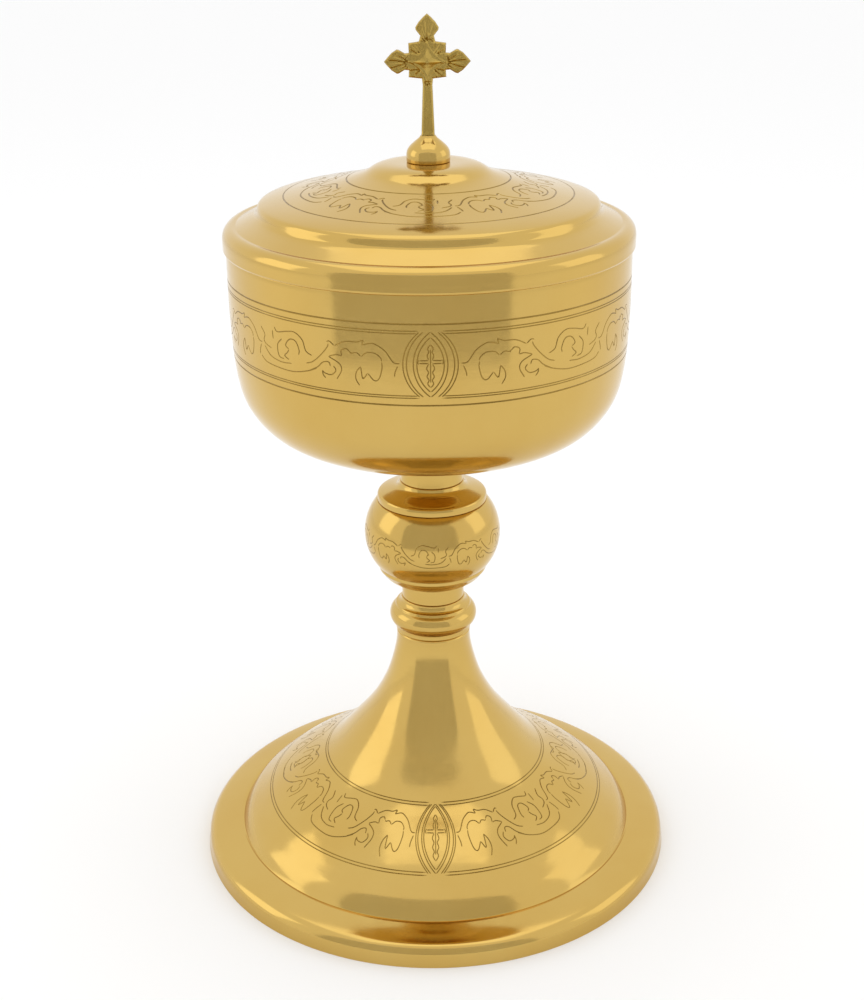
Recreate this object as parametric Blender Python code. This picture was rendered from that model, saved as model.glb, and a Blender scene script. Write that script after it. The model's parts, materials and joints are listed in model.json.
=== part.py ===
"""A lidded ciborium: spun cup, lid with a cast cross, knopped stem and bell-shaped foot.

The origin is the centre of the foot's resting plane, +Z runs up the stem and the cross
faces -Y.  Sizes below are millimetres; MM turns them into metres.
"""

import bmesh
import bpy
from math import atan2, cos, pi, radians, sin

MM = 0.001

# Driving sizes, millimetres
TOTAL_HEIGHT = 250.0
FOOT_RADIUS = 71.8
CUP_RADIUS = 55.8
LID_RADIUS = 56.6
KNOP_RADIUS = 19.9
NECK_RADIUS = 9.1
SHEET = 1.0            # thickness of the spun brass
GAP = 0.3              # clearance between pieces that touch

# Levels up the axis, millimetres
BELL_TOP = 71.0
RING_TOP = 81.6
LOWER_NECK_TOP = 86.5
KNOP_BOTTOM_EDGE = 92.7
KNOP_TOP_EDGE = 112.9
SHOULDER_TOP = 118.9
CUP_BOTTOM = 130.0
CUP_RIM = 188.9
LID_TOP = 211.3
COLLAR_TOP = 218.4
CROSS_CENTRE = 237.8

# Threaded parts, millimetres
ROD_RADIUS = 3.0
STUD_RADIUS = 2.0

LARGE_SEGMENTS = 40
MEDIUM_SEGMENTS = 28
SMALL_SEGMENTS = 24
CURVE_STEPS = 2        # points along a smooth outline for each of its knots


# ---------------------------------------------------------------- helpers

def clear_scene():
    for thing in list(bpy.data.objects):
        bpy.data.objects.remove(thing)


def make_material(name, colour, roughness, metallic=1.0):
    material = bpy.data.materials.new(name)
    material.use_nodes = True
    shader = material.node_tree.nodes["Principled BSDF"]
    shader.inputs["Base Color"].default_value = (*colour, 1.0)
    shader.inputs["Roughness"].default_value = roughness
    shader.inputs["Metallic"].default_value = metallic
    return material


def arc(centre, radius, start, end, steps):
    """Points on an arc in the (radius, height) plane, angles in degrees from the +radius axis."""
    points = []
    for i in range(steps + 1):
        angle = radians(start + (end - start) * i / steps)
        points.append((centre[0] + radius * cos(angle), centre[1] + radius * sin(angle)))
    return points


def curve_through(knots):
    """A smooth Catmull-Rom curve through the knots."""
    first = (2 * knots[0][0] - knots[1][0], 2 * knots[0][1] - knots[1][1])
    last = (2 * knots[-1][0] - knots[-2][0], 2 * knots[-1][1] - knots[-2][1])
    padded = [first, *knots, last]
    points = []
    for i in range(1, len(padded) - 2):
        p0, p1, p2, p3 = padded[i - 1:i + 3]
        for step in range(CURVE_STEPS):
            t = step / CURVE_STEPS
            points.append(tuple(
                0.5 * (2 * b + (c - a) * t + (2 * a - 5 * b + 4 * c - d) * t ** 2
                       + (3 * b - a - 3 * c + d) * t ** 3)
                for a, b, c, d in zip(p0, p1, p2, p3)))
    points.append(knots[-1])
    return points


def inner_skin(outer, thickness):
    """The outer profile moved inwards by the sheet's thickness.  The profile runs top to bottom."""
    skin = []
    for i, (radius, height) in enumerate(outer):
        before = outer[max(i - 1, 0)]
        after = outer[min(i + 1, len(outer) - 1)]
        angle = atan2(after[1] - before[1], after[0] - before[0])
        skin.append((radius + thickness * sin(angle), height - thickness * cos(angle)))
    return skin


def sheet_outline(outer, thickness):
    """Closed outline of a spun sheet, with its two ends cut square to the axis or level."""
    skin = inner_skin(outer, thickness)
    skin[0] = (outer[0][0], skin[0][1])
    skin[-1] = (skin[-1][0], outer[-1][1])
    return outer + skin[::-1]


def turned(name, outline, material, segments):
    """A solid of revolution about +Z from a closed outline in (radius, height) millimetres."""
    mesh = bpy.data.meshes.new(name)
    shape = bmesh.new()
    points = [shape.verts.new((radius * MM, 0.0, height * MM)) for radius, height in outline]
    edges = [shape.edges.new((points[i - 1], points[i])) for i in range(len(points))]
    bmesh.ops.spin(shape, geom=points + edges, cent=(0, 0, 0), axis=(0, 0, 1), angle=2 * pi,
                   steps=segments, use_merge=True)
    bmesh.ops.remove_doubles(shape, verts=shape.verts, dist=1e-7)
    bmesh.ops.dissolve_degenerate(shape, edges=shape.edges, dist=1e-7)
    bmesh.ops.recalc_face_normals(shape, faces=shape.faces)
    shape.to_mesh(mesh)
    shape.free()
    return place(name, mesh, material)


def prism(name, outline, depth, material):
    """An outline in (x, z) millimetres about the cross centre, extruded evenly about the XZ plane."""
    mesh = bpy.data.meshes.new(name)
    shape = bmesh.new()
    front = shape.faces.new([shape.verts.new((x * MM, -depth / 2 * MM, (CROSS_CENTRE + z) * MM))
                             for x, z in outline])
    back = bmesh.ops.extrude_face_region(shape, geom=[front])
    moved = [item for item in back["geom"] if isinstance(item, bmesh.types.BMVert)]
    bmesh.ops.translate(shape, verts=moved, vec=(0, depth * MM, 0))
    bmesh.ops.recalc_face_normals(shape, faces=shape.faces)
    shape.to_mesh(mesh)
    shape.free()
    return place(name, mesh, material)


def place(name, mesh, material):
    mesh.materials.append(material)
    mesh.shade_smooth()
    mesh.set_sharp_from_angle(angle=radians(35))
    thing = bpy.data.objects.new(name, mesh)
    bpy.context.scene.collection.objects.link(thing)
    return thing


def join_solid(target, helper):
    """Union the helper into the target and keep the helper out of the model."""
    helper.hide_render = True
    helper.display_type = 'WIRE'
    union = target.modifiers.new("join_" + helper.name, 'BOOLEAN')
    union.operation = 'UNION'
    union.object = helper


def hex_nut(name, across_flats, bore, low, high, material):
    """A hexagonal nut with a round hole; its outer ring has extra points along each flat."""
    mesh = bpy.data.meshes.new(name)
    shape = bmesh.new()
    sides = SMALL_SEGMENTS
    rings = []
    for is_outer, height in ((False, high), (True, high), (True, low), (False, low)):
        ring = []
        for i in range(sides):
            angle = 2 * pi * i / sides
            off_flat = (angle % (pi / 3)) - pi / 6
            radius = across_flats / 2 / cos(off_flat) if is_outer else bore
            ring.append(shape.verts.new((radius * cos(angle) * MM, radius * sin(angle) * MM,
                                         height * MM)))
        rings.append(ring)
    for k in range(4):
        near, far = rings[k - 1], rings[k]
        for i in range(sides):
            shape.faces.new((near[i - 1], near[i], far[i], far[i - 1]))
    bmesh.ops.recalc_face_normals(shape, faces=shape.faces)
    shape.to_mesh(mesh)
    shape.free()
    return place(name, mesh, material)


def tube_outline(inner, outer, low, high):
    return [(inner, high), (outer, high), (outer, low), (inner, low)]


# ---------------------------------------------------------------- foot

def bell_profile():
    """The foot's outer face: flat top, flare, engraved slope, shoulder, groove, flange and edge."""
    top = [(ROD_RADIUS + 0.4, BELL_TOP), (10.3, BELL_TOP), (10.9, BELL_TOP - 0.6)]
    flare = curve_through([(10.9, 69.0), (11.4, 64.8), (14.0, 55.5), (18.7, 46.3), (25.9, 37.2),
                           (33.6, 29.1), (42.9, 23.0), (51.6, 16.9), (58.0, 11.2)])
    groove = [(60.2, 7.9), (60.6, 7.2), (61.2, 7.4)]
    flange = arc((FOOT_RADIUS - 3.9, 2.8), 3.5, 80, 0, 5)
    return top + flare + groove + flange + [(FOOT_RADIUS, 0.0)]


def build_foot(gold, brass):
    turned("base_shell", sheet_outline(bell_profile(), SHEET), gold, LARGE_SEGMENTS)
    ring_outer = FOOT_RADIUS - SHEET - 0.5
    turned("foot_ring", tube_outline(ring_outer - 4.0, ring_outer, 0.0, 2.0), brass, LARGE_SEGMENTS)

    washer_top = BELL_TOP - SHEET - GAP
    bore = ROD_RADIUS + GAP
    turned("base_washer", tube_outline(bore, 8.5, washer_top - 1.5, washer_top), brass,
           SMALL_SEGMENTS)
    lock_top = washer_top - 1.5 - GAP
    turned("lock_washer", tube_outline(bore, 5.0, lock_top - 1.2, lock_top), brass,
           SMALL_SEGMENTS)
    nut_top = lock_top - 1.2 - GAP
    hex_nut("tie_rod_nut", 10.0, bore, nut_top - 5.0, nut_top, brass)


# ---------------------------------------------------------------- stem

def ring_profile():
    """The stem ring: a fillet down from the neck, a round bead and a short foot on the bell."""
    fillet = arc((11.6, RING_TOP), 2.2, 180, 255, 5)
    bead = arc((9.5, 75.9), 3.4, 60, -60, 6)
    return fillet + bead + [(11.1, 71.9), (11.1, BELL_TOP + GAP)]


def knop_profile():
    half = (KNOP_TOP_EDGE - KNOP_BOTTOM_EDGE) / 2
    centre_height = KNOP_BOTTOM_EDGE + half
    sagitta = KNOP_RADIUS - 16.2
    radius = (half ** 2 + sagitta ** 2) / (2 * sagitta)
    spread = atan2(half, radius - sagitta) * 180 / pi
    return arc((KNOP_RADIUS - radius, centre_height), radius, spread, -spread, 8)


def build_stem(gold, brass):
    bore = ROD_RADIUS + 0.4
    turned("stem_ring", ring_profile() + [(bore, BELL_TOP + GAP), (bore, RING_TOP)], gold,
           MEDIUM_SEGMENTS)
    turned("lower_neck", tube_outline(bore, NECK_RADIUS, RING_TOP + GAP, LOWER_NECK_TOP), gold,
           MEDIUM_SEGMENTS)

    sleeve_radius = 6.0
    hole = sleeve_radius + GAP
    lower_cap = ([(15.9, KNOP_BOTTOM_EDGE - GAP), (15.8, 91.4)]
                 + arc((9.2, 94.3), 7.0, -28, -72, 4) + [(9.8, LOWER_NECK_TOP + GAP)])
    turned("knop_lower_cap", hollow_cap(lower_cap, hole), gold, MEDIUM_SEGMENTS)
    barrel = knop_profile()
    inside = [(radius - 1.2, height) for radius, height in reversed(barrel)]
    turned("knop_barrel", barrel + inside, gold, MEDIUM_SEGMENTS)
    upper_cap = (arc((12.15, SHOULDER_TOP + 0.5), 2.9, 190, 255, 4)
                 + arc((14.9, 114.5), 1.0, 75, 0, 4) + [(15.9, KNOP_TOP_EDGE + GAP)])
    turned("knop_upper_cap", hollow_cap(upper_cap[::-1], hole), gold, MEDIUM_SEGMENTS)
    turned("knop_sleeve", tube_outline(bore, sleeve_radius, LOWER_NECK_TOP + GAP,
                                       SHOULDER_TOP - GAP), brass, SMALL_SEGMENTS)

    neck = [(11.4, 127.8), (9.6, 126.2), (NECK_RADIUS, 124.0),
            (NECK_RADIUS, SHOULDER_TOP + GAP)]
    turned("upper_neck", [(6.5, 127.8), *neck, (6.5, SHOULDER_TOP + GAP)], gold,
           MEDIUM_SEGMENTS)
    turned("tie_rod", [(0, 126.0), (ROD_RADIUS, 126.0), (ROD_RADIUS, 58.0), (0, 58.0)], brass,
           SMALL_SEGMENTS)


def hollow_cap(rim_to_hub, hole):
    """A pressed cap: its outer face from rim to hub, and a parallel inner face with a hole."""
    wall = 1.2
    rim_radius, rim_height = rim_to_hub[0]
    hub_height = rim_to_hub[-1][1]
    inwards = wall if hub_height < rim_height else -wall
    inner = [(radius - wall, height + inwards * 0.5) for radius, height in rim_to_hub[1:-1]]
    return (rim_to_hub + [(hole, hub_height), (hole, hub_height + inwards)]
            + inner[::-1] + [(rim_radius - wall, rim_height)])


# ---------------------------------------------------------------- cup

def cup_profile():
    """The cup's outer face from the rim down the wall and round to the flat centre."""
    return curve_through([(CUP_RADIUS, CUP_RIM), (CUP_RADIUS, 176.0), (55.4, 163.0),
                          (54.2, 152.4), (51.6, 145.1), (45.7, 138.5), (36.0, 134.0),
                          (24.0, 131.0), (12.0, CUP_BOTTOM)]) + [(0.0, CUP_BOTTOM)]


def build_cup(gold, brass):
    outer = cup_profile()
    inner = inner_skin(outer, SHEET)
    inner[-1] = (0.0, CUP_BOTTOM + SHEET)
    inner[0] = (inner[0][0], CUP_RIM)
    turned("cup_shell", outer + inner[::-1], gold, LARGE_SEGMENTS)
    flange_top = CUP_BOTTOM - GAP
    flange_bottom = 128.1
    thread = ROD_RADIUS + GAP
    boss = [(0, flange_top), (10.5, flange_top), (10.5, flange_bottom), (6.2, flange_bottom),
            (6.2, 121.0), (thread, 121.0), (thread, 126.6), (0, 126.6)]
    turned("cup_boss", boss, brass, MEDIUM_SEGMENTS)


# ---------------------------------------------------------------- lid

def lid_profile():
    """The lid's outer face: centre mound, engraved slope, step, cove, shoulder and skirt."""
    mound = [(STUD_RADIUS + GAP, LID_TOP), (7.5, LID_TOP), (10.8, 211.2), (13.6, 210.7),
             (15.4, 209.9), (16.9, 208.9), (18.9, 208.0), (22.4, 206.9)]
    slope = [(39.7, 202.8)]
    step = arc((45.2, 199.6), 1.7, 74, 12, 4)
    cove = arc((49.5, 200.0), 2.6, 192, 248, 3)
    shoulder = arc((53.7, 192.6), 2.9, 104, 8, 5)
    return mound + slope + step + cove + shoulder + [(LID_RADIUS, 191.0), (LID_RADIUS, 189.7),
                                              (56.3, CUP_RIM + GAP)]


def build_lid(gold, brass):
    turned("lid_shell", sheet_outline(lid_profile(), SHEET), gold, LARGE_SEGMENTS)
    bezel_outer = CUP_RADIUS - SHEET - GAP
    seat = CUP_RIM + GAP
    bezel = [(bezel_outer - 1.0, 192.0), (bezel_outer + 0.5, 192.0), (bezel_outer + 0.5, seat),
             (bezel_outer, seat), (bezel_outer, 183.4), (bezel_outer - 0.4, 183.0),
             (bezel_outer - 1.0, 183.0)]
    turned("lid_bezel", bezel, gold, LARGE_SEGMENTS)

    underside = LID_TOP - SHEET - GAP
    bore = STUD_RADIUS + GAP
    turned("lid_washer", tube_outline(bore, 6.0, underside - 1.0, underside), brass,
           SMALL_SEGMENTS)
    nut_top = underside - 1.0 - GAP
    hex_nut("lid_nut", 7.0, bore, nut_top - 3.2, nut_top, brass)
    stud_low = nut_top - 4.4
    turned("finial_stud", [(0, 214.4), (STUD_RADIUS, 214.4), (STUD_RADIUS, stud_low),
                           (0, stud_low)], brass, SMALL_SEGMENTS)


# ---------------------------------------------------------------- finial

def collar_outline():
    """The turned collar: two blind holes, one for the stud below and one for the cross's tang."""
    low = LID_TOP + GAP
    outer = [(1.95, COLLAR_TOP), (2.2, 218.0), (3.2, 217.1), (4.3, 216.2), (5.15, 215.3),
             (5.65, 214.4), (5.8, 213.7), (5.8, low)]
    stud_hole = STUD_RADIUS + GAP
    tang_hole = 1.3
    return outer + [(stud_hole, low), (stud_hole, 214.7), (0, 214.7), (0, 215.4),
                    (tang_hole, 215.4), (tang_hole, COLLAR_TOP)]


def leaf(length, neck_at, neck_width, leaf_at, leaf_width):
    """Half of one leaf-ended arm, from its neck out to its tip, as (along, across) points."""
    return [(neck_at, neck_width), (leaf_at - 0.6, leaf_width * 0.96), (leaf_at, leaf_width),
            (leaf_at + 1.4, leaf_width * 0.72), (length - 0.9, leaf_width * 0.34), (length, 0.0)]


def cross_outline():
    """The cast cross, in (x, z) about its centre: three leaf-ended arms, corner blocks and stem."""
    block = [(4.9, 2.2), (5.0, 4.7), (2.2, 5.1)]
    up = leaf(TOTAL_HEIGHT - CROSS_CENTRE, 6.6, 1.8, 8.7, 3.1)
    side = leaf(11.5, 6.0, 2.1, 8.1, 3.1)
    right_up = [(along, across) for along, across in side]
    quarter = [(across, along) for along, across in up[::-1]] + block[::-1] + right_up
    stem_foot = COLLAR_TOP + GAP - CROSS_CENTRE
    lower = ([(along, -across) for along, across in side[::-1][1:]]
             + [(4.9, -2.2), (5.0, -4.0), (1.5, -4.4), (1.3, -6.0), (1.8, stem_foot)])
    right = quarter + lower
    left = [(-x, z) for x, z in right[::-1] if x > 0]
    return right + left


def star_outline():
    points = []
    for i in range(8):
        reach = 4.6 if i % 2 == 0 else 1.7
        points.append((reach * sin(i * pi / 4), reach * cos(i * pi / 4)))
    return points


def star_boss(material):
    """A four-pointed ridge, proud of both faces of the crossing."""
    mesh = bpy.data.meshes.new("cross_star")
    shape = bmesh.new()
    rim = [shape.verts.new((x * MM, 0.0, (CROSS_CENTRE + z) * MM)) for x, z in star_outline()]
    for side in (-1, 1):
        peak = shape.verts.new((0.0, side * 2.3 * MM, CROSS_CENTRE * MM))
        for i in range(len(rim)):
            shape.faces.new((rim[i - 1], rim[i], peak))
    bmesh.ops.recalc_face_normals(shape, faces=shape.faces)
    shape.to_mesh(mesh)
    shape.free()
    return place("cross_star", mesh, material)


def build_finial(gold, cast):
    turned("finial_collar", collar_outline(), gold, SMALL_SEGMENTS)
    cross = prism("cross_finial", cross_outline(), 2.4, cast)
    stem_foot = COLLAR_TOP + GAP
    tang = turned("cross_tang", [(0, stem_foot + 0.8), (1.0, stem_foot + 0.8), (1.0, 215.7),
                                 (0, 215.7)], cast, 12)
    join_solid(cross, tang)
    join_solid(cross, star_boss(cast))


def main():
    clear_scene()
    gold = make_material("polished_gold", (0.83, 0.62, 0.22), 0.12)
    cast = make_material("cast_gold", (0.74, 0.56, 0.20), 0.32)
    brass = make_material("plain_brass", (0.70, 0.55, 0.25), 0.38)
    build_foot(gold, brass)
    build_stem(gold, brass)
    build_cup(gold, brass)
    build_lid(gold, brass)
    build_finial(gold, cast)


main()
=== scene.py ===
"""The looks of the gilt ciborium: fine turned skins, engraved bands, cast cross, metals and studio.

Every turned piece takes its outline from its CAD node in the frame, is smoothed between its
edges and spun again with many columns.  The bands are cut as real V-shaped grooves.
Lengths are metres in the frame, and millimetres (MM) while an outline or a band is worked out.
"""

import json
from math import acos, atan2, ceil, cos, hypot, pi, radians, sin, sqrt, tan

import bpy
import numpy as np
from mathutils import Matrix, Vector
from mathutils.geometry import delaunay_2d_cdt
from mathutils.kdtree import KDTree


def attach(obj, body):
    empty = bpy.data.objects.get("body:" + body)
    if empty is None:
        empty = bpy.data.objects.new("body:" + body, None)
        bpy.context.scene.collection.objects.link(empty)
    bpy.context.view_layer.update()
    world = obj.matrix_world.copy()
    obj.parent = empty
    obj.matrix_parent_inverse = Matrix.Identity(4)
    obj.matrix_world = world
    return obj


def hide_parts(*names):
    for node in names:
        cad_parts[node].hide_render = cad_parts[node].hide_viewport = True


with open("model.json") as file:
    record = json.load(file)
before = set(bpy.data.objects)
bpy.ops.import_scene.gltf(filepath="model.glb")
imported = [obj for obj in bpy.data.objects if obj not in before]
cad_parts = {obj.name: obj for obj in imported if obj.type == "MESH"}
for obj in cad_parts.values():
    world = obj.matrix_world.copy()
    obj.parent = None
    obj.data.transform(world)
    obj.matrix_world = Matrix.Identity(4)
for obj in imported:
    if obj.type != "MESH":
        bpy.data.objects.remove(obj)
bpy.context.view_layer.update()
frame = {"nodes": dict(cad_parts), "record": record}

MM = 0.001
COLUMNS = 240                  # round the axis; a multiple of every band's sectors
CORNER = radians(24)           # a turn sharper than this is an edge of the piece
EDGE_RADIUS = 0.13             # mm, on each sharp outside edge
FILLET_RADIUS = 0.5            # mm, in each sharp inside corner
SHARPEST_TURN = radians(120)   # an edge is rounded as if it turned no further than this
MOST_TRIMMED = 0.4             # of a face, to round one of its edges
EDGE_SAMPLES = 12              # along each rounded edge
PLATING = 0.145                # mm added all over, which closes the joints between pieces
LONGEST_STEP = 1.3             # mm, between two rings of a smooth face
WIDEST_TURN = radians(6)       # between two rings of a smooth face
SHORTEST_STEP = 0.01           # mm, between two rings of a smooth face
LAST_STEP = 0.03               # mm, the least between the last two rings
DENSE_STEP = 0.05              # mm, between the samples that rings are picked from
LEAST_SAMPLES = 12             # between two knots of a face
ON_PLANE = 0.003               # mm, how near to y = 0 an edge on the cut through +X lies
PAST_AXIS = -0.002             # mm, the least x of such an edge
OUTWARD = 0.05                 # how far a normal leans out where a face counts as outer

# Engraving, millimetres
GROOVE_SLOPE = 0.55            # depth of a groove against half its width
BOLD = 0.46                    # widths across the top of a groove
FINE = 0.33
STROKE_STEP = 0.40             # between the points of a stroke
CURVE_SAMPLES = 12             # between two knots of a stroke
BOW_SAMPLES = 41
DEPTH_SAMPLES = 8              # to each point of a stroke
TAPER = 0.4                    # a stroke narrows to its end over this length
RING_STEP = 1.5                # between the points of a line round the piece
MARGIN = 2.0                   # a stroke is followed this far past its sector
GRID = 1.8                     # between points where the metal is plain
CLEAR_OF_STROKE = 0.7          # from a stroke to the nearest point of that grid
LEAST_DEPTH = 0.008            # a triangle that is cut less than this stays polished
SNAP = 1e-3                    # points this near a border are put on it
TOUCHING = 1e-5                # points this near each other are one
SMALLEST_AREA = 1e-9


# ---------------------------------------------------------------- outlines

def cad_outline(node):
    """The (radius, height) outline of a turned CAD node in mm, read where its mesh crosses +X.

    The metal is on its left.  It is a loop, or a chain that starts and ends on the axis.
    """
    mesh = frame["nodes"][node].data
    points = [tuple(round(c / MM, 3) + 0.0 for c in vertex.co) for vertex in mesh.vertices]
    links = {}
    for edge in mesh.edges:
        a, b = (points[i] for i in edge.vertices)
        if a != b and abs(a[1]) + abs(b[1]) < ON_PLANE and min(a[0], b[0]) > PAST_AXIS:
            links.setdefault((a[0], a[2]), set()).add((b[0], b[2]))
            links.setdefault((b[0], b[2]), set()).add((a[0], a[2]))
    ends = sorted(point for point in links if len(links[point]) == 1)
    outline = [ends[0] if ends else min(links)]
    seen = set(outline)
    while True:
        onwards = sorted(links[outline[-1]] - seen)
        if not onwards:
            break
        outline.append(onwards[0])
        seen.add(onwards[0])
    if ends:
        outline = [(0.0, outline[0][1]), *outline, (0.0, outline[-1][1])]
    area = sum(a[0] * b[1] - b[0] * a[1] for a, b in zip(outline, outline[1:] + outline[:1]))
    return (outline if area > 0 else outline[::-1]), not ends


def turn_at(before, point, after):
    """How far an outline turns at a point, in radians, to the left if positive."""
    turn = (atan2(after[1] - point[1], after[0] - point[0])
            - atan2(point[1] - before[1], point[0] - before[0]))
    return (turn + pi) % (2 * pi) - pi


def outline_faces(outline, is_loop):
    """The outline split at its sharp corners; each face holds the corners at both its ends."""
    count = len(outline)
    if is_loop:
        start = next(i for i in range(count)
                     if abs(turn_at(outline[i - 1], outline[i], outline[(i + 1) % count])) > CORNER)
        outline = outline[start:] + outline[:start + 1]
    last = len(outline) - 1
    cuts = [i for i in range(1, last)
            if abs(turn_at(outline[i - 1], outline[i], outline[i + 1])) > CORNER]
    cuts = [0, *cuts, last]
    return [outline[a:b + 1] for a, b in zip(cuts, cuts[1:])]


def smooth_face(knots):
    """Dense (points, normals) of the natural cubic spline through one face's knots."""
    knots = np.array(knots, float)
    lengths = np.hypot(*np.diff(knots, axis=0).T)
    bends = np.zeros_like(knots)
    if len(knots) > 2:
        system = np.eye(len(knots))
        right = np.zeros_like(knots)
        for i in range(1, len(knots) - 1):
            before, after = lengths[i - 1], lengths[i]
            system[i, i - 1:i + 2] = before, 2 * (before + after), after
            right[i] = 6 * ((knots[i + 1] - knots[i]) / after
                            - (knots[i] - knots[i - 1]) / before)
        bends = np.linalg.solve(system, right)
    points, tangents = [], []
    for i, length in enumerate(lengths):
        steps = max(LEAST_SAMPLES, ceil(length / DENSE_STEP))
        t = np.arange(steps + (i == len(lengths) - 1))[:, None] / steps
        sixth = length ** 2 / 6
        points.append(knots[i] * (1 - t) + knots[i + 1] * t
                      + sixth * (bends[i] * ((1 - t) ** 3 - (1 - t))
                                 + bends[i + 1] * (t ** 3 - t)))
        tangents.append(knots[i + 1] - knots[i]
                        + sixth * (bends[i] * (1 - 3 * (1 - t) ** 2)
                                   + bends[i + 1] * (3 * t ** 2 - 1)))
    return np.concatenate(points), normals_of(np.concatenate(tangents))


def normals_of(tangents):
    """Unit normals on the right of an outline, which is away from the metal."""
    unit = tangents / np.hypot(*tangents.T)[:, None]
    return np.stack([unit[:, 1], -unit[:, 0]], axis=1)


def broken_edge(face, following):
    """Trims two faces back from their shared edge.  Returns them and the small curve between."""
    corner = face[0][-1]
    here, there = face[1][-1], following[1][0]
    turn = min(acos(np.clip(here @ there, -1, 1)), SHARPEST_TURN)
    is_outside = here[0] * there[1] - here[1] * there[0] > 0
    reach = (EDGE_RADIUS if is_outside else FILLET_RADIUS) * tan(turn / 2)
    back = np.hypot(*(face[0] - corner).T)
    ahead = np.hypot(*(following[0] - corner).T)
    reach = min(reach, MOST_TRIMMED * back.max(), MOST_TRIMMED * ahead.max())
    keep_back = np.arange(len(back)) <= max(1, np.nonzero(back >= reach)[0].max())
    keep_ahead = np.arange(len(ahead)) >= min(len(ahead) - 2, np.nonzero(ahead >= reach)[0].min())
    face = (face[0][keep_back], face[1][keep_back])
    following = (following[0][keep_ahead], following[1][keep_ahead])
    t = np.linspace(0, 1, EDGE_SAMPLES + 2)[1:-1, None]
    start, end = face[0][-1], following[0][0]
    points = (1 - t) ** 2 * start + 2 * t * (1 - t) * corner + t ** 2 * end
    tangents = (1 - t) * (corner - start) + t * (end - corner)
    return face, following, (points, normals_of(tangents))


def full_outline(node):
    """Dense points and normals along a turned node's outline, and whether it is a loop."""
    outline, is_loop = cad_outline(node)
    faces = [smooth_face(knots) for knots in outline_faces(outline, is_loop)]
    edges = []
    for i in range(len(faces) if is_loop else len(faces) - 1):
        following = (i + 1) % len(faces)
        faces[i], faces[following], edge = broken_edge(faces[i], faces[following])
        edges.append(edge)
    parts = []
    for i, face in enumerate(faces):
        parts.append(face)
        if i < len(edges):
            parts.append(edges[i])
    points = np.concatenate([part[0] for part in parts])
    normals = np.concatenate([part[1] for part in parts])
    if not is_loop:
        normals[0], normals[-1] = (0, np.sign(normals[0][1])), (0, np.sign(normals[-1][1]))
    plated = points + PLATING * normals
    plated[:, 1] = np.maximum(plated[:, 1], 0.0)
    return plated, normals, is_loop


def thinned(points, normals):
    """Only the rings that an outline's curvature and length need."""
    kept = [0]
    for i in range(1, len(points) - 1):
        last = kept[-1]
        travelled = hypot(*(points[i] - points[last]))
        turned_by = acos(np.clip(normals[i] @ normals[last], -1, 1))
        if travelled > LONGEST_STEP or (turned_by > WIDEST_TURN and travelled > SHORTEST_STEP):
            kept.append(i)
    if len(kept) > 1 and hypot(*(points[-1] - points[kept[-1]])) < LAST_STEP:
        kept.pop()
    kept.append(len(points) - 1)
    return points[kept], normals[kept]


# ---------------------------------------------------------------- turned skins

def add_to_scene(name, data):
    """A new object in the scene for a mesh, a light or a camera."""
    thing = bpy.data.objects.new(name, data)
    bpy.context.scene.collection.objects.link(thing)
    return thing


class Skin:
    """Collects the faces of one piece as corner positions (mm), corner normals and a metal."""

    def __init__(self):
        self.corners, self.normals, self.metals = [], [], []

    def add(self, corners, normals, metal=0):
        """Takes in corners and normals as (faces, corners, 3), and a metal for all or for each."""
        if len(corners):
            self.corners.append(corners)
            self.normals.append(normals)
            self.metals.append(np.full(len(corners), metal) if np.isscalar(metal) else metal)

    def object(self, name, materials):
        """Joins corners that are at one place, drops flat faces and makes the object."""
        points = np.concatenate([c.reshape(-1, 3) for c in self.corners])
        _, first, index = np.unique(np.round(points * 1e4).astype(np.int64), axis=0,
                                    return_index=True, return_inverse=True)
        index = index.reshape(-1)
        faces, normals, metals = [], [], []
        start = 0
        for corners, corner_normals, metal in zip(self.corners, self.normals, self.metals):
            count, size = corners.shape[:2]
            rows = index[start:start + count * size].reshape(count, size)
            start += count * size
            for row, row_normals, slot in zip(rows.tolist(), corner_normals, metal.tolist()):
                keep = [k for k in range(size) if row[k] != row[k - 1]]
                if len(keep) > 2:
                    faces.append([row[k] for k in keep])
                    normals.append(row_normals[keep])
                    metals.append(slot)
        mesh = bpy.data.meshes.new(name)
        mesh.from_pydata((points[first] * MM).tolist(), [], faces)
        mesh.polygons.foreach_set("material_index", metals)
        mesh.shade_smooth()
        mesh.normals_split_custom_set(np.concatenate(normals))
        for material in materials:
            mesh.materials.append(material)
        mesh.update()
        return add_to_scene(name, mesh)


def spun(points, angles):
    """Points or normals in (radius, height), turned to each angle from -Y towards +X."""
    radius, height = points[..., 0], points[..., 1]
    return np.stack(np.broadcast_arrays(radius * np.sin(angles), -radius * np.cos(angles),
                                        height), axis=-1)


def add_rings(skin, points, normals):
    """The faces between successive rings of an outline, all the way round."""
    angles = np.arange(COLUMNS + 1) * (2 * pi / COLUMNS)
    places = spun(points[:, None, :], angles[None, :])
    directions = spun(normals[:, None, :], angles[None, :])

    def quads(grid):
        """The four corners of each cell of a grid."""
        return np.stack([grid[:-1, :-1], grid[:-1, 1:], grid[1:, 1:], grid[1:, :-1]],
                        axis=2).reshape(-1, 4, 3)

    skin.add(quads(places), quads(directions))


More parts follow.
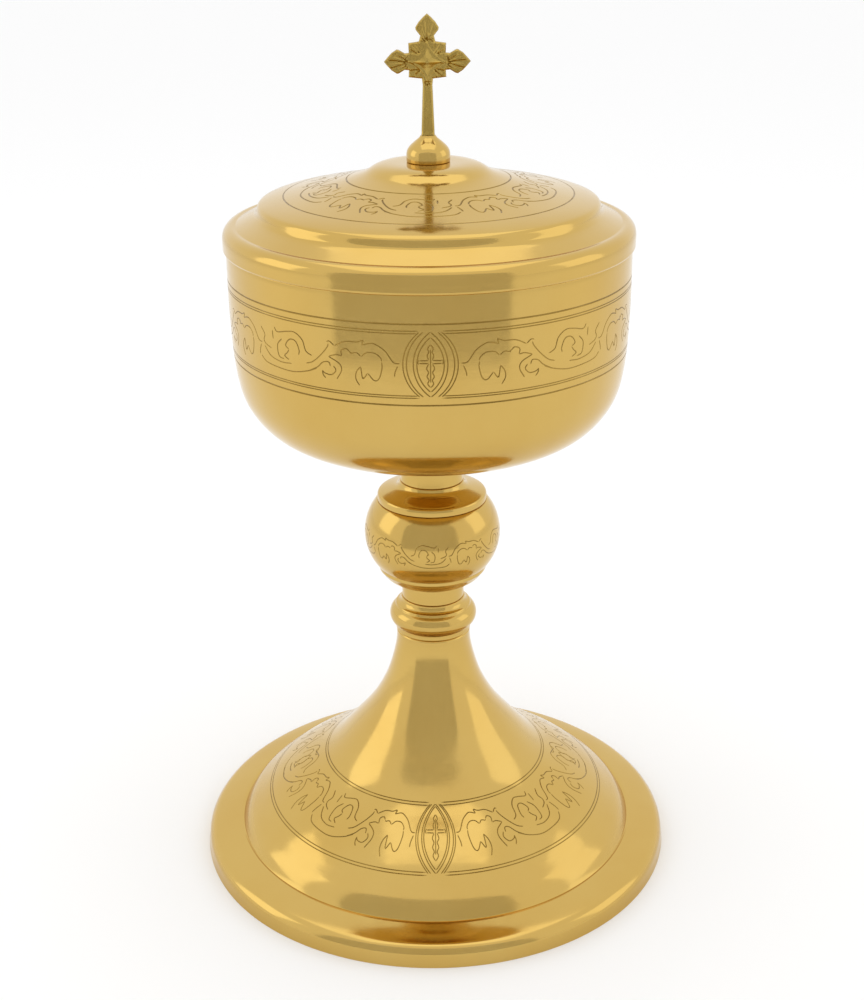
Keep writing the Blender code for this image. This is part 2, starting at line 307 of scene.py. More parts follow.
def turned_piece(node, materials, band=None):
    """A fine skin for a turned CAD node, with its engraved band if it has one."""
    points, normals, is_loop = full_outline(node)
    skin = Skin()
    if band is None:
        if is_loop:
            points, normals = np.vstack([points, points[:1]]), np.vstack([normals, normals[:1]])
        add_rings(skin, *thinned(points, normals))
    else:
        low, high = sorted(nearest(points, normals, place) for place in band["ends"])
        if is_loop:
            after = np.r_[high:len(points), 0:low + 1]
            add_rings(skin, *thinned(points[after], normals[after]))
        else:
            add_rings(skin, *thinned(points[:low + 1], normals[:low + 1]))
            add_rings(skin, *thinned(points[high:], normals[high:]))
        add_band(skin, points[low:high + 1], normals[low:high + 1], band)
    return skin.object(node + "_skin", materials)


def nearest(points, normals, place):
    """The sample of the outer face that is at a given height or radius, as ("height", mm)."""
    axis = {"radius": 0, "height": 1}[place[0]]
    facing = normals[:, 1 - axis] > OUTWARD
    distance = np.where(facing, np.abs(points[:, axis] - place[1]), np.inf)
    return int(distance.argmin())


# ---------------------------------------------------------------- engraving

def add_band(skin, points, normals, band):
    """Cuts a band's strokes into a stretch of an outline's outer face, sector by sector.

    x runs round the axis and y up the face, scaled so that both shrink alike where the
    radius does.
    """
    reference = points[:, 0].mean()
    steps = np.hypot(*np.diff(points, axis=0).T) / ((points[1:, 0] + points[:-1, 0]) / 2)
    rise = reference * np.concatenate([[0], np.cumsum(steps)])
    sectors, is_mirrored = band["sectors"], band["mirrored"]
    width, height = 2 * pi * reference / sectors, rise[-1]

    def along(y, values):
        """What values has at some places up the face."""
        return np.interp(y, rise, values)

    def rise_at(place):
        """How far up the face a height or a radius is."""
        return rise[nearest(points, normals, place)]

    paths = []
    for stroke, line_width in band["strokes"](width, rise_at):
        for path, fullness in clipped(stroke, width):
            half = fullness * line_width / 2 * reference / along(path[:, 1], points[:, 0])
            paths.extend(copies(path, half, width, is_mirrored))
    corners, depths = cut_sector(paths, width, height, COLUMNS // sectors)
    facing = np.stack([along(corners[..., 1], normals[:, k]) for k in (0, 1)], axis=-1)
    places = np.stack([along(corners[..., 1], points[:, k]) for k in (0, 1)], axis=-1)
    places = places - facing * depths[..., None]
    is_groove = depths.max(axis=1) > LEAST_DEPTH
    angles = corners[..., 0] / reference
    for sector in range(sectors):
        is_flipped = is_mirrored and sector % 2 == 1
        start = (sector + is_flipped) * 2 * pi / sectors
        put = start + (-angles if is_flipped else angles)
        add_sector(skin, spun(places, put), spun(facing, put), is_groove, is_flipped)


def add_sector(skin, corners, normals, is_groove, is_flipped):
    """Adds one sector's triangles, with flat sides to its grooves."""
    if is_flipped:
        corners, normals = corners[:, ::-1], normals[:, ::-1]
    flat = np.cross(corners[:, 1] - corners[:, 0], corners[:, 2] - corners[:, 0])
    flat /= np.maximum(np.linalg.norm(flat, axis=1), 1e-12)[:, None]
    normals = np.where(is_groove[:, None, None], flat[:, None, :], normals)
    skin.add(corners, normals, is_groove.astype(int))


def clipped(path, width):
    """The parts of a path within a sector and its margins, each with how full its width is."""
    inside = (path[:, 0] > -MARGIN) & (path[:, 0] < width + MARGIN)
    run = np.concatenate([[0], np.cumsum(np.hypot(*np.diff(path, axis=0).T))])
    fullness = np.clip(np.minimum(run, run[-1] - run) / TAPER, 0, 1)
    starts = np.nonzero(inside & ~np.concatenate([[False], inside[:-1]]))[0]
    stops = np.nonzero(inside & ~np.concatenate([inside[1:], [False]]))[0]
    return [(path[a:b + 1], fullness[a:b + 1]) for a, b in zip(starts, stops) if b > a]


def copies(path, half, width, is_mirrored):
    """A path, and where it comes in again from the neighbouring sectors."""
    found = [(path, half)]
    for side in (0.0, width):
        if path[:, 0].min() < side + MARGIN and path[:, 0].max() > side - MARGIN:
            copy = path.copy()
            copy[:, 0] = 2 * side - copy[:, 0] if is_mirrored else copy[:, 0] + width - 2 * side
            if np.abs(copy - path).max() > 1e-6:
                found.append((copy, half))
    return found


def tree_of(places):
    """A search tree of (x, y) places."""
    tree = KDTree(len(places))
    for i, (x, y) in enumerate(places):
        tree.insert((x, y, 0), i)
    tree.balance()
    return tree


def groove_rows(paths):
    """The bottom and both rims of every groove, and dense samples (x, y, half width) of them."""
    rows, samples = [], []
    for path, half in paths:
        tangent = np.gradient(path, axis=0)
        tangent /= np.maximum(np.hypot(*tangent.T), 1e-9)[:, None]
        side = np.stack([-tangent[:, 1], tangent[:, 0]], axis=1) * half[:, None]
        rows.extend(row.tolist() for row in (path, path + side, path - side))
        fine = np.linspace(0, len(path) - 1, DEPTH_SAMPLES * len(path))
        samples.append(np.stack([np.interp(fine, np.arange(len(path)), values)
                                 for values in (path[:, 0], path[:, 1], half)], axis=1))
    return rows, np.concatenate(samples)


def depth_at(x, y, tree, samples):
    """How deep the grooves around a place cut it."""
    near = tree.find_range((x, y, 0), BOLD)
    inside = max((samples[i][2] - distance for _, i, distance in near), default=0.0)
    return GROOVE_SLOPE * max(inside, 0.0)


def cut_sector(paths, width, height, columns):
    """Triangles of one sector: (corners in x and y, groove depth at each corner)."""
    rows, samples = groove_rows(paths)
    tree = tree_of(samples[:, :2])
    across = np.linspace(0, width, columns + 1)
    up = np.linspace(0, height, ceil(height / GRID) + 1)
    rows += [[(x, 0.0) for x in across], [(x, height) for x in across],
             [(0.0, y) for y in up], [(width, y) for y in up]]
    points, edges = [], []
    for row in rows:
        edges.extend((len(points) + i, len(points) + i + 1) for i in range(len(row) - 1))
        points.extend(row)
    points.extend((x, y) for x in across[1:-1] for y in up[1:-1]
                  if tree.find((x, y, 0))[2] > CLEAR_OF_STROKE)

    verts, _, faces, _, _, _ = delaunay_2d_cdt([Vector(point) for point in points], edges, [],
                                               0, TOUCHING)
    depths = np.array([depth_at(x, y, tree, samples) for x, y in verts])
    faces = np.array([face for face in faces if len(face) == 3])
    verts = on_borders(np.array([tuple(vert) for vert in verts]), width, height, columns)
    depths[(verts[:, 1] <= 0) | (verts[:, 1] >= height)] = 0
    return within_sector(verts[faces], depths[faces], width, height)


def on_borders(verts, width, height, columns):
    """Puts points that are near a border on it, and those of the low and high one on columns."""
    x, y = verts.T
    is_end = (abs(y) < SNAP) | (abs(y - height) < SNAP)
    x = np.where(is_end, np.round(x * columns / width) * width / columns, x)
    for value, limit in ((x, 0.0), (x, width), (y, 0.0), (y, height)):
        value[abs(value - limit) < SNAP] = limit
    return np.stack([x, y], axis=1)


def within_sector(corners, depths, width, height):
    """The triangles that lie in the sector and have an area, all turned anticlockwise."""
    centre = corners.mean(axis=1)
    first, second = corners[:, 1] - corners[:, 0], corners[:, 2] - corners[:, 0]
    area = first[:, 0] * second[:, 1] - first[:, 1] * second[:, 0]
    keep = ((centre > 0).all(axis=1) & (centre[:, 0] < width) & (centre[:, 1] < height)
            & (abs(area) > SMALLEST_AREA))
    corners, depths, is_clockwise = corners[keep], depths[keep], area[keep] < 0
    corners[is_clockwise] = corners[is_clockwise][:, ::-1]
    depths[is_clockwise] = depths[is_clockwise][:, ::-1]
    return corners, depths


# ---------------------------------------------------------------- strokes

def curve(knots):
    """A smooth path through a stroke's knots, as evenly stepped points."""
    knots = np.array(knots, float)
    padded = np.concatenate([2 * knots[:1] - knots[1:2], knots, 2 * knots[-1:] - knots[-2:-1]])
    t = np.linspace(0, 1, CURVE_SAMPLES, endpoint=False)[:, None]
    points = []
    for a, b, c, d in zip(padded, padded[1:], padded[2:], padded[3:]):
        points.append(b + 0.5 * t * (c - a + t * (2 * a - 5 * b + 4 * c - d
                                                  + t * (3 * b - a - 3 * c + d))))
    return stepped(np.concatenate([*points, knots[-1:]]))


def stepped(points, step=STROKE_STEP):
    """A path's points respaced evenly, at about the given step."""
    points = np.array(points, float)
    run = np.concatenate([[0], np.cumsum(np.hypot(*np.diff(points, axis=0).T))])
    even = np.linspace(0, run[-1], max(3, ceil(run[-1] / step) + 1))
    return np.stack([np.interp(even, run, points[:, k]) for k in (0, 1)], axis=1)


def ring_lines(width, rise_at, axis, places, line_width, start=-2 * MARGIN):
    """Lines round the piece at some heights or radii, from start to past the sector's far side."""
    end = width + 2 * RING_STEP
    strokes = []
    for place in places:
        rise = rise_at((axis, place))
        strokes.append((stepped([(start, rise), (end, rise)], RING_STEP), line_width))
    return strokes


# One repeat of the scroll: a wavy double stem with two curls and split leaves.  x runs from the
# medallion and y from the middle of the band, in millimetres on the cup.  The knots were picked
# by eye along the photo's strokes, turned into these millimetres by a separate script with a
# fitted camera, and thinned.
SCROLL_REPEAT = 42.5
SCROLL = (
    ((7.6, 0.3), (9.3, 0.6), (11.3, 3.4), (13.7, 5.0), (15.2, 5.2), (17.4, 4.6)),
    ((17.4, 4.6), (16.9, 5.9), (18.7, 5.3), (21.9, 5.1), (24.9, 3.7)),
    ((24.9, 3.7), (26.2, 4.7), (27.2, 4.5)),
    ((26.6, 4.1), (27.0, 3.0), (29.0, 0.7), (31.5, -1.4), (33.7, -2.2)),
    ((12.3, 0.6), (12.5, 1.6), (14.0, 2.7), (16.1, 2.7), (17.6, 1.6)),
    ((17.6, 1.6), (18.8, 2.5), (20.3, 2.2), (20.7, 2.5)),
    ((20.7, 2.5), (21.5, 3.3), (23.0, 2.7), (22.8, 1.2)),
    ((22.8, 1.2), (24.4, 1.4), (26.7, 0.7)),
    ((26.7, 0.7), (23.7, -0.8), (23.1, -2.6), (24.6, -5.2)),
    ((12.3, 0.6), (12.2, -1.0), (13.0, -3.8), (14.3, -4.5), (16.0, -2.6)),
    ((16.0, -2.6), (16.8, -3.8), (17.4, -4.1), (17.8, -1.0)),
    ((17.8, -1.0), (19.0, -2.6), (19.2, -4.4), (18.2, -6.2)),
    ((8.2, -0.3), (8.9, -2.0), (9.1, -3.3)),
    ((26.2, -2.0), (26.7, -0.8), (28.4, -1.1), (30.1, -2.6), (32.7, -4.0)),
    ((25.4, -1.6), (24.7, -2.8), (26.0, -4.1), (28.0, -3.9), (28.7, -3.2)),
    ((28.7, -3.2), (28.5, -4.4), (27.7, -5.3)),
    ((31.6, 0.1), (33.6, 1.1), (34.6, 3.8), (37.1, 5.4), (40.1, 5.1), (43.5, 4.4), (44.6, 5.6)),
    ((45.4, 4.6), (45.3, 3.0), (45.2, 2.1)),
    ((41.8, 2.9), (43.6, 0.9), (43.2, -2.0), (41.2, -2.5)),
    ((36.1, -0.5), (35.8, 0.9), (36.9, 3.1), (39.0, 3.2), (40.5, 1.4), (39.3, 0.5)),
    ((39.3, 0.5), (40.1, -0.6), (41.1, -1.5), (39.4, -2.4)),
    ((38.6, -3.2), (42.5, -3.5), (46.6, -2.7), (49.2, -0.4)),
    ((30.3, -3.0), (33.6, -4.3), (38.3, -5.3), (43.3, -5.3), (48.7, -4.8), (51.0, -3.4)),
    ((46.1, -0.6), (48.6, 0.2), (49.3, 1.2), (48.8, 2.7), (50.5, 4.6)),
)

# The medallion as it is on the cup, in millimetres, and the right half of the cross in it,
# whose knots were judged
MEDALLION_HALF_WIDTH = 4.3
MEDALLION_HALF_HEIGHT = 8.5
OVAL_END_GAPS = 1.5            # between the ends of the two ovals, in gaps between their sides
OUTER_BOWS = ((1.9, 2.0), (2.9, 3.0))    # in gaps, outside the oval and off its centre line
MEDALLION_CROSS = (
    ((0.0, 5.4), (0.7, 4.3), (0.4, 3.4), (0.8, 2.5), (0.45, 1.2)),
    ((0.45, 1.2), (2.9, 1.15)),
    ((2.9, 1.5), (3.2, 0.8), (2.9, 0.1)),
    ((2.9, 0.45), (0.45, 0.4)),
    ((0.45, 0.4), (1.0, -0.9), (0.5, -1.9), (0.9, -3.0), (0.4, -4.0), (0.75, -4.9), (0.0, -6.0)),
    ((0.0, 4.2), (0.0, 0.0), (0.0, -4.7)),
)


def scroll_strokes(middle, across, up, line_width, repeats):
    """The scroll, stretched across and up, as (path, line width)."""
    strokes = []
    for repeat in repeats:
        for knots in SCROLL:
            placed = [(across * (x + repeat * SCROLL_REPEAT), middle + up * y) for x, y in knots]
            strokes.append((curve(placed), line_width))
    return strokes


def bow(half_width, half_height, middle, inset=0.0):
    """The right side of a pointed oval, or of an outer bow that starts off its centre line."""
    sagitta = half_width - inset
    radius = (sagitta ** 2 + half_height ** 2) / (2 * sagitta)
    angles = np.linspace(-1, 1, BOW_SAMPLES) * atan2(half_height, radius - sagitta)
    return stepped(np.stack([half_width - radius + radius * np.cos(angles),
                             middle + radius * np.sin(angles)], axis=1))


def medallion_strokes(middle, half_height, half_width, gap):
    """A double pointed oval with a small cross in it, between two double bows."""
    strokes = [(bow(half_width, half_height, middle), FINE),
               (bow(half_width - gap, half_height - OVAL_END_GAPS * gap, middle), FINE)]
    for outside, inset in OUTER_BOWS:
        strokes.append((bow(half_width + outside * gap, half_height, middle, inset * gap), FINE))
    across, up = half_width / MEDALLION_HALF_WIDTH, half_height / MEDALLION_HALF_HEIGHT
    for knots in MEDALLION_CROSS:
        strokes.append((curve([(x * across, middle + y * up) for x, y in knots]), FINE))
    return strokes


# Where the bands and their lines lie, in millimetres of height or of radius
CUP_ENDS = (("height", 158.6), ("height", 183.4))
CUP_BOLD_LINES = (160.4, 181.7)
CUP_FINE_LINES = (162.4, 163.0, 179.35, 179.95)
CUP_MEDALLION_ENDS = (("height", 162.7), ("height", 179.7))
BASE_ENDS = (("radius", 54.0), ("radius", 31.8))
BASE_LINES = (51.25, 51.95, 33.45, 34.15)
BASE_MEDALLION_ENDS = (("radius", 51.6), ("radius", 33.8))
LID_ENDS = (("radius", 41.0), ("radius", 21.2))
LID_LINES = (39.7, 22.4)
KNOP_ENDS = (("height", 97.4), ("height", 107.6))
KNOP_MIDDLE = ("height", 102.5)

# The medallion's size on each piece, and where its fine lines leave off, in millimetres
CUP_MEDALLION_GAP = 0.9
CUP_LINES_START = 2.6
BASE_MEDALLION_HALF_WIDTH = 4.1
BASE_MEDALLION_GAP = 0.6
BASE_LINES_START = 2.0

# The scroll's stretch and line width, where they aren't the cup's
BASE_SCROLL_ACROSS = 0.80
BASE_SCROLL_UP = 1.28
KNOP_SCROLL_UP = 0.66
KNOP_SCROLL_WIDTH = 0.26


def cup_strokes(width, rise_at):
    """Half a medallion, the scroll, a bold line and a fine double line above and below."""
    low, high = (rise_at(place) for place in CUP_MEDALLION_ENDS)
    middle, half_height = (low + high) / 2, (high - low) / 2
    return (ring_lines(width, rise_at, "height", CUP_BOLD_LINES, BOLD)
            + ring_lines(width, rise_at, "height", CUP_FINE_LINES, FINE, CUP_LINES_START)
            + medallion_strokes(middle, half_height, MEDALLION_HALF_WIDTH, CUP_MEDALLION_GAP)
            + scroll_strokes(middle, 1.0, 1.0, FINE, (0, 1)))


def base_strokes(width, rise_at):
    """Half a medallion, the scroll and a fine double line above and below."""
    low, high = (rise_at(place) for place in BASE_MEDALLION_ENDS)
    middle, half_height = (low + high) / 2, abs(high - low) / 2
    return (ring_lines(width, rise_at, "radius", BASE_LINES, FINE, BASE_LINES_START)
            + medallion_strokes(middle, half_height, BASE_MEDALLION_HALF_WIDTH, BASE_MEDALLION_GAP)
            + scroll_strokes(middle, BASE_SCROLL_ACROSS, BASE_SCROLL_UP, FINE, (0, 1)))


def lid_strokes(width, rise_at):
    """One repeat of the scroll between two bold lines."""
    low, high = (rise_at(("radius", radius)) for radius in LID_LINES)
    return (ring_lines(width, rise_at, "radius", LID_LINES, BOLD)
            + scroll_strokes((low + high) / 2, width / SCROLL_REPEAT, 1.0, BOLD, (-1, 0)))


def knop_strokes(width, rise_at):
    """One repeat of the scroll."""
    return scroll_strokes(rise_at(KNOP_MIDDLE), width / SCROLL_REPEAT, KNOP_SCROLL_UP,
                          KNOP_SCROLL_WIDTH, (-1, 0))


BANDS = {
    "cup_shell": {"ends": CUP_ENDS, "sectors": 4, "mirrored": True, "strokes": cup_strokes},
    "base_shell": {"ends": BASE_ENDS, "sectors": 4, "mirrored": True, "strokes": base_strokes},
    "lid_shell": {"ends": LID_ENDS, "sectors": 5, "mirrored": False, "strokes": lid_strokes},
    "knop_barrel": {"ends": KNOP_ENDS, "sectors": 5, "mirrored": False, "strokes": knop_strokes},
}


# ---------------------------------------------------------------- metals

PATCH_SCALE = 45               # noise cells to a metre, in the colour
PATCH_DETAIL = 4
PATCH_RANGE = (0.35, 0.7)      # of that noise, from the bright colour to the deep one
POLISH_SCALE = 260
POLISH_DETAIL = 5
POLISH_STRETCH = (1, 1, 2.5)
POLISH_RANGE = (0.3, 0.75)     # of that noise, from the smoothest place to the roughest
SMOOTHEST = 0.75               # times a metal's stated roughness
ROUGHEST = 1.35
MARK_SCALE = 90
MARK_DETAIL = 3
MARK_STRETCH = (0.4, 0.4, 14)  # long round the axis and short up it
MARK_DEPTH = 0.0002            # metres


def noise(tree, place, scale, detail, stretch=(1, 1, 1)):
    """Noise over a piece, its cells made shorter along each axis by stretch."""
    mapping = tree.nodes.new("ShaderNodeMapping")
    mapping.inputs["Scale"].default_value = stretch
    tree.links.new(place, mapping.inputs["Vector"])
    texture = tree.nodes.new("ShaderNodeTexNoise")
    texture.inputs["Scale"].default_value = scale
    texture.inputs["Detail"].default_value = detail
    tree.links.new(mapping.outputs["Vector"], texture.inputs["Vector"])
    return texture.outputs["Fac"]


def ramp(tree, value, from_range, to_range):
    """A value brought from one range to another, and held at its ends."""
    node = tree.nodes.new("ShaderNodeMapRange")
    for socket, number in zip(("From Min", "From Max", "To Min", "To Max"),
                              (*from_range, *to_range)):
        node.inputs[socket].default_value = number
    tree.links.new(value, node.inputs["Value"])
    return node.outputs["Result"]


def metal(name, bright, deep, roughness, marks):
    """A metal whose colour and polish wander a little, with faint marks left by the spinning."""
    material = bpy.data.materials.new(name)
    material.use_nodes = True
    tree = material.node_tree
    shader = tree.nodes["Principled BSDF"]
    shader.inputs["Metallic"].default_value = 1.0
    place = tree.nodes.new("ShaderNodeTexCoord").outputs["Object"]

    patches = ramp(tree, noise(tree, place, PATCH_SCALE, PATCH_DETAIL), PATCH_RANGE, (0, 1))
    mix = tree.nodes.new("ShaderNodeMix")
    mix.data_type = "RGBA"
    mix.inputs["A"].default_value = (*bright, 1)
    mix.inputs["B"].default_value = (*deep, 1)
    tree.links.new(patches, mix.inputs["Factor"])
    tree.links.new(mix.outputs["Result"], shader.inputs["Base Color"])

    polish = noise(tree, place, POLISH_SCALE, POLISH_DETAIL, POLISH_STRETCH)
    limits = (roughness * SMOOTHEST, roughness * ROUGHEST)
    tree.links.new(ramp(tree, polish, POLISH_RANGE, limits), shader.inputs["Roughness"])

    bump = tree.nodes.new("ShaderNodeBump")
    bump.inputs["Strength"].default_value = marks
    bump.inputs["Distance"].default_value = MARK_DEPTH
    tree.links.new(noise(tree, place, MARK_SCALE, MARK_DETAIL, MARK_STRETCH),
                   bump.inputs["Height"])
    tree.links.new(bump.outputs["Normal"], shader.inputs["Normal"])
    return material


POLISHED = metal("gilt_polished", bright=(0.615, 0.415, 0.120), deep=(0.595, 0.390, 0.105),
                 roughness=0.13, marks=0.02)
ENGRAVED = metal("gilt_engraved", bright=(0.34, 0.215, 0.05), deep=(0.24, 0.145, 0.03),
                 roughness=0.30, marks=0.05)
CAST = metal("gilt_cast", bright=(0.52, 0.37, 0.10), deep=(0.38, 0.25, 0.055),
             roughness=0.24, marks=0.25)
BRASS = metal("brass_turned", bright=(0.58, 0.44, 0.20), deep=(0.50, 0.37, 0.15),
              roughness=0.26, marks=0.20)


# ---------------------------------------------------------------- cross

CROSS_CENTRE = 237.8           # mm, height of the middle of the crossing
CROSS_FOOT = -19.5             # mm from there to the bottom of the casting
CROSS_SIDE = 12.0              # mm, no part reaches further out
CROSS_TOP = 12.4               # mm, nor further up
CROSS_GRID = 0.26              # mm, between the points of the relief
RIM_STEP = 1.5 * CROSS_GRID    # between the points of its rim
CLEAR_OF_RIM = 0.6 * CROSS_GRID
RIM_SAMPLES = 4                # to each step of the rim
SHARP_ANGLE = radians(50)
# Across and up from the middle of the crossing, down the right side
UP_LEAF = ((0.0, 12.2), (1.05, 11.3), (2.2, 10.1), (3.1, 8.7), (2.98, 8.1), (1.8, 6.6))
SIDE_LEAF = ((6.0, 2.1), (7.5, 2.98), (8.1, 3.1), (9.5, 2.2), (10.6, 1.05), (11.5, 0.0))
BLOCK_TOP = ((2.2, 5.1), (5.0, 4.7), (4.9, 2.2))
BLOCK_BOTTOM = ((4.9, -2.2), (5.0, -4.0), (1.5, -4.4), (1.3, -6.0), (1.8, CROSS_FOOT))
# Its relief, in millimetres except where it says otherwise
CROSS_EDGE = 0.6               # half the thickness at the rim
CROSS_FIELD = 0.62             # how much more that is inside the rim
RIM_WIDTH = 0.75               # over which the rim rounds off
FLUTE_DEPTH = 0.34
CORNER_FLUTES = 14             # to a full turn
CORNER_START = 2.0             # from the centre lines to a corner's flutes
CORNER_FAN = 1.2               # from the centre lines to where they fan out from
LEAF_FLUTES = 16               # to a full turn
LEAF_START = 5.2               # from the middle of the crossing to a leaf's flutes
LEAF_FAN = 4.6                 # from there to where they fan out from
DIAMOND_RISE = 0.24
DIAMOND_POWER = 0.75           # below 1 makes hollow sides
DIAMOND_REACH = 3.5            # in millimetres to that power
DIAMOND_SLOPE = 0.25           # the same
STAR_RISE = 1.05
STAR_POWER = 0.62
STAR_REACH = 4.4
STEM_TOP = -6.5                # below this is the plain stem
STEM_GROOVE = 0.16             # its depth
STEM_GROOVE_SIDE = 0.5         # half its width
FOOT_LENGTH = 1.2
FOOT_SLOPE = 0.45              # how fast the stem's foot grows thicker


def cross_outline():
    """The outline of the cast cross, anticlockwise from its top."""
    lower_leaf = [(x, -z) for x, z in reversed(SIDE_LEAF[:-1])]
    right = [*UP_LEAF, *BLOCK_TOP, *SIDE_LEAF, *lower_leaf, *BLOCK_BOTTOM]
    left = [(-x, z) for x, z in reversed(right[1:])]
    return [right[0], *reversed(left), *reversed(right[1:])]


def flute_depth(x, z):
    """The flutes that fan out in the corners of the block and in the leaves."""
    if min(x, z) > CORNER_START:
        angle = atan2(z - CORNER_FAN, x - CORNER_FAN)
        return FLUTE_DEPTH * (0.6 + 0.5 * cos(CORNER_FLUTES * angle))
    if hypot(x, z) > LEAF_START:
        angle = atan2(min(x, z), max(x, z) - LEAF_FAN)
        return FLUTE_DEPTH * (0.5 + 0.5 * cos(LEAF_FLUTES * angle))
    return 0.0


def star_rise(x, z):
    """A diamond with hollow sides over the crossing, and a star with four points on it."""
    to_edge = DIAMOND_REACH - x ** DIAMOND_POWER - z ** DIAMOND_POWER
    diamond = max(0.0, min(1.0, to_edge / DIAMOND_SLOPE))
    star = (x ** STAR_POWER + z ** STAR_POWER) ** (1 / STAR_POWER) / STAR_REACH
    return DIAMOND_RISE * diamond + STAR_RISE * max(0.0, 1 - star)


def stem_rise(x, z):
    """The shallow groove down the stem, and its foot, which grows thicker downwards."""
    groove = STEM_GROOVE * max(0.0, 1 - abs(x) / STEM_GROOVE_SIDE)
    return FOOT_SLOPE * max(0.0, CROSS_FOOT + FOOT_LENGTH - z) - groove


def cross_height(x, z, rim_distance):
    """Half the thickness of the cross at a place."""
    round_off = min(1.0, rim_distance / RIM_WIDTH)
    height = CROSS_EDGE + CROSS_FIELD * sqrt(round_off * (2 - round_off))
    if z > STEM_TOP:
        x, z = abs(x), abs(z)
        return height - round_off * flute_depth(x, z) + star_rise(x, z)
    return height + stem_rise(x, z)


def cross_rim():
    """Points stepped along the outline of the cross."""
    corners = np.array(cross_outline())
    rim = []
    for start, end in zip(corners, np.roll(corners, -1, axis=0)):
        steps = max(1, round(hypot(*(end - start)) / RIM_STEP))
        rim.extend((start + (end - start) * k / steps).tolist() for k in range(steps))
    return np.array(rim)


def cross_sheet():
    """The cross as a flat sheet: its (x, z) points, its faces, and the height of each point."""
    rim = cross_rim()
    onwards = np.roll(rim, -1, axis=0) - rim
    tree = tree_of(np.concatenate([rim + onwards * k / RIM_SAMPLES
                                   for k in range(RIM_SAMPLES)]))
    grid = [(x, z) for x in np.arange(-CROSS_SIDE, CROSS_SIDE, CROSS_GRID)
            for z in np.arange(CROSS_FOOT, CROSS_TOP, CROSS_GRID)
            if tree.find((x, z, 0))[2] > CLEAR_OF_RIM]
    points = [Vector(point) for point in rim.tolist() + grid]
    flat, _, faces, _, _, _ = delaunay_2d_cdt(points, [], [list(range(len(rim)))], 1, TOUCHING)
    heights = []
    for x, z in flat:
        distance = tree.find((x, z, 0))[2]
        heights.append(cross_height(x, z, 0.0 if distance < SNAP else distance))
    return flat, [tuple(face) for face in faces], heights


def cross_piece():
    """The cast cross: one sheet raised alike in front and behind, and joined round its rim."""
    flat, front, heights = cross_sheet()
    verts = [(x * MM, side * height * MM, (z + CROSS_CENTRE) * MM)
             for side in (-1, 1) for (x, z), height in zip(flat, heights)]
    count = len(flat)
    back = [tuple(i + count for i in reversed(face)) for face in front]
    edges = {(a, b) for face in front for a, b in zip(face, face[1:] + face[:1])}
    rim = [(b, a, a + count, b + count) for a, b in edges if (b, a) not in edges]
    mesh = bpy.data.meshes.new("cross_finial_casting")
    mesh.from_pydata(verts, [], front + back + rim)
    mesh.shade_smooth()
    mesh.set_sharp_from_angle(angle=SHARP_ANGLE)
    mesh.materials.append(CAST)
    mesh.update()
    return add_to_scene("cross_finial_casting", mesh)


# ---------------------------------------------------------------- pieces

GILT = ("finial_collar", "lid_shell", "lid_bezel", "cup_shell", "upper_neck", "knop_upper_cap",
        "knop_barrel", "knop_lower_cap", "lower_neck", "stem_ring", "base_shell")
TURNED_BRASS = ("finial_stud", "lid_washer", "cup_boss", "knop_sleeve", "tie_rod", "foot_ring",
                "base_washer", "lock_washer")
NUTS = ("lid_nut", "tie_rod_nut")


def body_of(node):
    """The CAD body that a node moves with."""
    bodies = frame["record"]["behaviour"]["bodies"]
    return next(body for body, nodes in bodies.items() if node in nodes)


def stand_in(piece, node):
    """Makes a piece take over from its CAD node."""
    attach(piece, body_of(node))
    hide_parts(node)


for node in GILT:
    band = BANDS.get(node)
    piece = turned_piece(node, (POLISHED, ENGRAVED) if band else (POLISHED,), band)
    stand_in(piece, node)
for node in TURNED_BRASS:
    stand_in(turned_piece(node, (BRASS,)), node)
for node in NUTS:
    frame["nodes"][node].data.materials.clear()
    frame["nodes"][node].data.materials.append(BRASS)
stand_in(cross_piece(), "cross_finial")


# ---------------------------------------------------------------- studio

FLOOR_REACH = 7.0              # metres, to each side
FLOOR_GREY = 0.93
FLOOR_ROUGHNESS = 0.9
WALL_BRIGHTNESS = 1.04
FLAG_RADIUS = 0.52
FLAG_HALF_ANGLE = radians(47)
FLAG_TURN = radians(-4.5)      # the flag stands a little to the left
FLAG_FOOT = 0.001              # just off the floor
FLAG_SHOULDER = 0.40           # the flag is straight up to here, and rounds over to its top
FLAG_TOP = 0.68
FLAG_TIP = 0.02                # how wide its top is, against the rest
FLAG_GREY = 0.62
FLAG_ROWS = 21
FLAG_COLUMNS = 25
LIGHT_TARGET = (0.0, 0.0, 0.13)
SOFTBOXES = (                  # name, place and size in metres, power in watts
    ("left_softbox", (-0.9, 0.0, 0.45), (0.5, 0.6), 0.55),
    ("right_softbox", (0.9, 0.0, 0.45), (0.5, 0.6), 0.35),
    ("top_softbox", (0.0, 0.1, 1.1), (0.9, 0.9), 1.1),
)
CAMERA_PLACE = (0.0, -0.4370, 0.2910)
CAMERA_PITCH = radians(22.26)
CAMERA_ROLL = radians(-0.61)
CAMERA_LENS = 57.66


def studio_surface(name, points, faces, grey, roughness):
    """A plain sheet of the studio in one even grey."""
    mesh = bpy.data.meshes.new(name)
    mesh.from_pydata(points, [], faces)
    material = bpy.data.materials.new(name)
    material.use_nodes = True
    shader = material.node_tree.nodes["Principled BSDF"]
    shader.inputs["Base Color"].default_value = (grey, grey, grey, 1)
    shader.inputs["Roughness"].default_value = roughness
    mesh.materials.append(material)
    thing = add_to_scene(name, mesh)
    return thing


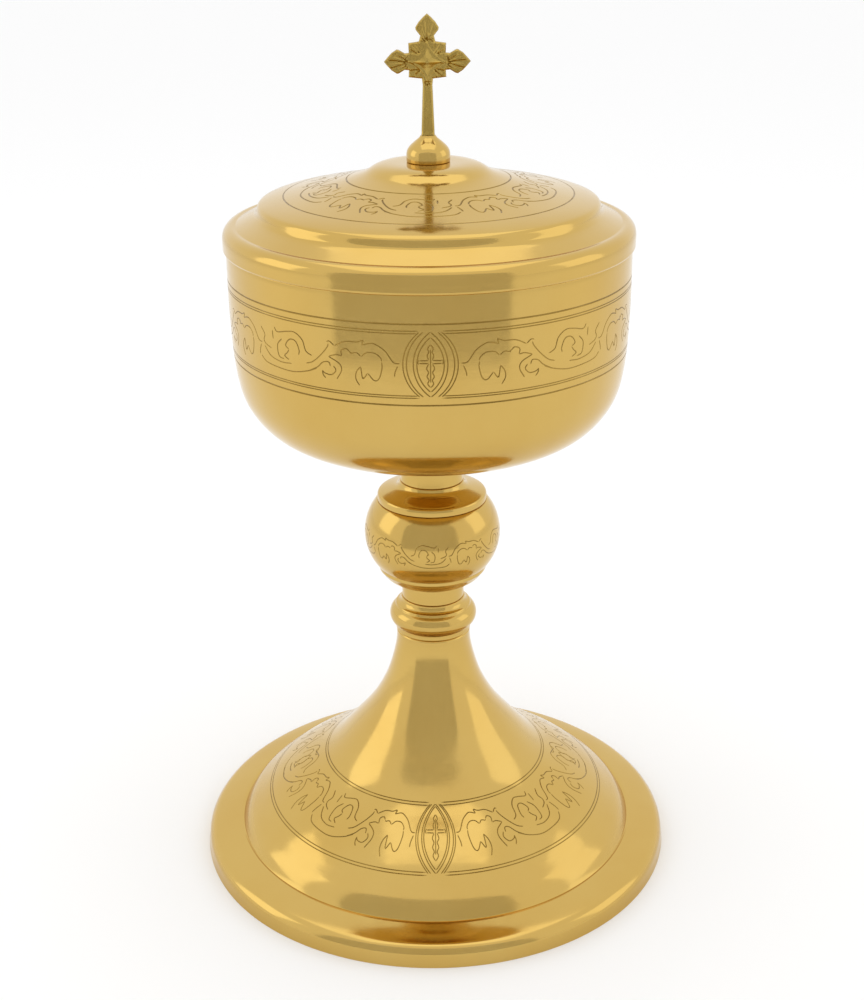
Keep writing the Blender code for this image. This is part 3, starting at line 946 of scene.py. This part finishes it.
def soft_light(name, place, size, power):
    """A white rectangular light that faces the vessel."""
    light = bpy.data.lights.new(name, "AREA")
    light.shape = "RECTANGLE"
    light.size, light.size_y = size
    light.energy = power
    thing = add_to_scene(name, light)
    thing.location = place
    aim = Vector(LIGHT_TARGET) - Vector(place)
    thing.rotation_euler = aim.to_track_quat("-Z", "Y").to_euler()


def dark_flag():
    """A grey curved flag in front, that only shows as a reflection in the metal."""
    points, faces = [], []
    for row in range(FLAG_ROWS):
        over = max(0.0, (row - 1) / (FLAG_ROWS - 2)) * pi / 2
        height = FLAG_SHOULDER + (FLAG_TOP - FLAG_SHOULDER) * sin(over) if row else FLAG_FOOT
        reach = FLAG_HALF_ANGLE * max(FLAG_TIP, cos(over))
        for angle in np.linspace(FLAG_TURN - reach, FLAG_TURN + reach, FLAG_COLUMNS):
            points.append((FLAG_RADIUS * sin(angle), -FLAG_RADIUS * cos(angle), height))
    for row in range(FLAG_ROWS - 1):
        for i in range(row * FLAG_COLUMNS, (row + 1) * FLAG_COLUMNS - 1):
            faces.append((i, i + 1, FLAG_COLUMNS + i + 1, FLAG_COLUMNS + i))
    flag = studio_surface("front_flag", points, faces, FLAG_GREY, 1.0)
    flag.visible_camera = False
    flag.visible_diffuse = False
    flag.visible_shadow = False


def set_up_studio():
    """The floor, the flag, the lights and even white walls."""
    reach = FLOOR_REACH
    studio_surface("floor", [(-reach, -reach, 0), (reach, -reach, 0), (reach, reach, 0),
                             (-reach, reach, 0)], [(0, 1, 2, 3)], FLOOR_GREY, FLOOR_ROUGHNESS)
    dark_flag()
    for softbox in SOFTBOXES:
        soft_light(*softbox)
    world = bpy.data.worlds.new("studio_walls")
    world.use_nodes = True
    walls = world.node_tree.nodes["Background"]
    walls.inputs["Color"].default_value = (1, 1, 1, 1)
    walls.inputs["Strength"].default_value = WALL_BRIGHTNESS
    bpy.context.scene.world = world
    bpy.context.scene.view_settings.view_transform = "Standard"


def set_up_camera():
    """The camera, as the photo was taken: from in front and a little above."""
    data = bpy.data.cameras.new("camera")
    data.lens = CAMERA_LENS
    camera = add_to_scene("camera", data)
    turn = Matrix.Rotation(pi / 2 - CAMERA_PITCH, 4, "X") @ Matrix.Rotation(CAMERA_ROLL, 4, "Z")
    camera.matrix_world = Matrix.Translation(CAMERA_PLACE) @ turn
    bpy.context.scene.camera = camera


set_up_studio()
set_up_camera()
